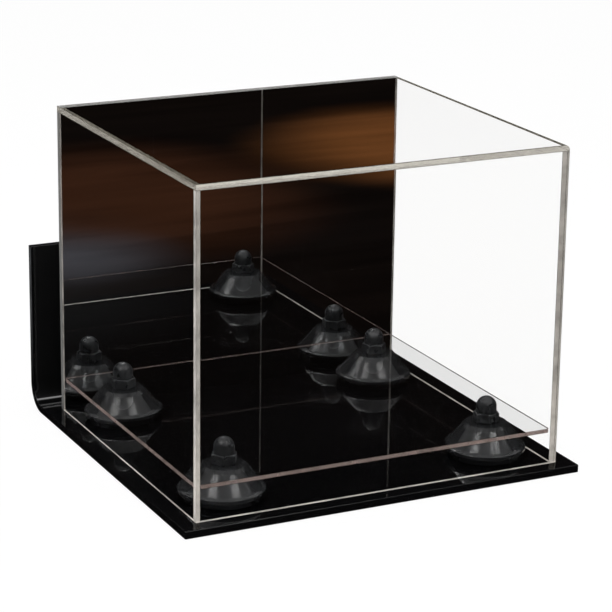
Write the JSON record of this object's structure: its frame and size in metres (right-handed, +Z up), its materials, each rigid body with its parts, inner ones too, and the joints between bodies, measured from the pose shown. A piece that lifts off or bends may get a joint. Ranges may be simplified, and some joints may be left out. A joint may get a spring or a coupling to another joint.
{
  "type": "display case",
  "caption": "Clear acrylic display case with a mirror back, lift-off cover, raised clear floor on black risers and a black base bent up into a wall flange.",
  "frame": {"origin": "on the underside of the base, under the middle of the cover", "axes": "+X to the right seen from the front, +Y back towards the mirror and the wall, +Z up"},
  "size_m": [0.3256, 0.3122, 0.2537],
  "materials": {
    "black_gloss_acrylic": "cast black acrylic sheet, high gloss",
    "clear_acrylic": "clear acrylic sheet, polished edges",
    "mirror_acrylic": "mirrored acrylic sheet, grey painted back",
    "black_moulded_plastic": "injection moulded, satin",
    "black_nylon": "moulded nylon, satin",
    "plated_steel": "zinc plated"
  },
  "bodies": {
    "base": {"base_and_wall_flange": "black_gloss_acrylic", "raised_floor_panel": "clear_acrylic", "riser_front_left": "black_moulded_plastic", "riser_front_right": "black_moulded_plastic", "riser_back_left": "black_moulded_plastic", "riser_back_right": "black_moulded_plastic", "riser_screw_front_left": "plated_steel", "riser_screw_front_right": "plated_steel", "riser_screw_back_left": "plated_steel", "riser_screw_back_right": "plated_steel", "dome_nut_front_left": "black_nylon", "dome_nut_front_right": "black_nylon", "dome_nut_back_left": "black_nylon", "dome_nut_back_right": "black_nylon"},
    "cover": {"cover_front_panel": "clear_acrylic", "cover_left_panel": "clear_acrylic", "cover_right_panel": "clear_acrylic", "cover_top_panel": "clear_acrylic", "cover_mirror_panel": "mirror_acrylic"}
  },
  "joints": [
    {"name": "cover_lift", "type": "slide", "parent": "base", "child": "cover", "axis": [0, 0, 1], "range_m": [0, 0.25]}
  ]
}
